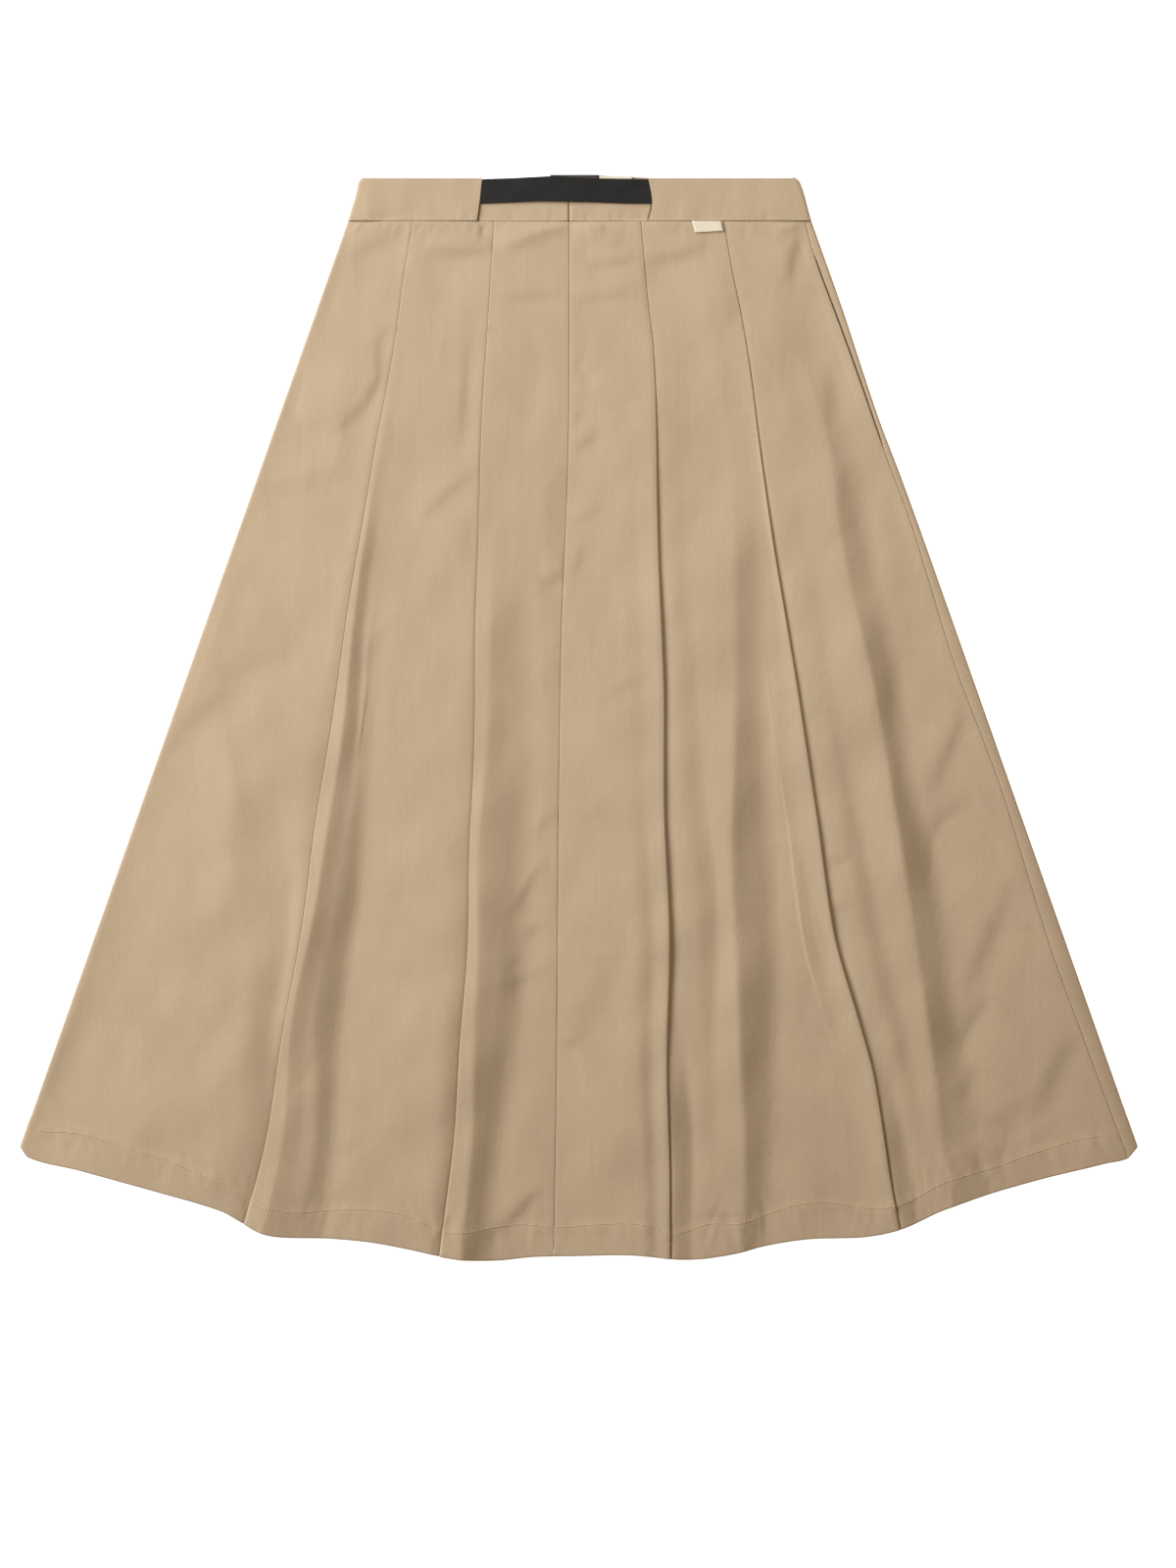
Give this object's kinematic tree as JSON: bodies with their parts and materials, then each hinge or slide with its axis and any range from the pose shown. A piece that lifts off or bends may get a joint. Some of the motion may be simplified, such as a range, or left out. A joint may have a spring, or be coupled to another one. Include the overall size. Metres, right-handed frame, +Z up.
{
  "type": "pleated skirt",
  "caption": "A-line cotton skirt laid flat, with knife pleats stitched down over the hips, a webbing strap across the front of the waistband and a pocket in one side seam.",
  "frame": {"origin": "on the surface that the skirt lies on, at the middle of its bounding box", "axes": "+Z up off the surface, +Y towards the waist, -Y towards the hem, +X towards the side with the pocket as seen from above"},
  "size_m": [0.9339, 0.9074, 0.014],
  "materials": {
    "twill": "matt cotton twill, khaki beige",
    "webbing": "smooth black webbing with a slight sheen",
    "cream_label": "bare cream woven tape",
    "dark_label": "bare dark woven tape"
  },
  "bodies": {
    "root": {"back": "twill", "front_left": "twill", "front_right": "twill", "pocket_bag": "twill", "waistband_back": "twill", "waistband_left": "twill", "waistband_right": "twill", "waistband_centre_left": "twill", "waistband_centre_right": "twill", "belt_strap": "webbing", "waist_label": "cream_label", "inside_label_dark": "dark_label", "inside_label_pale": "cream_label"}
  },
  "joints": []
}
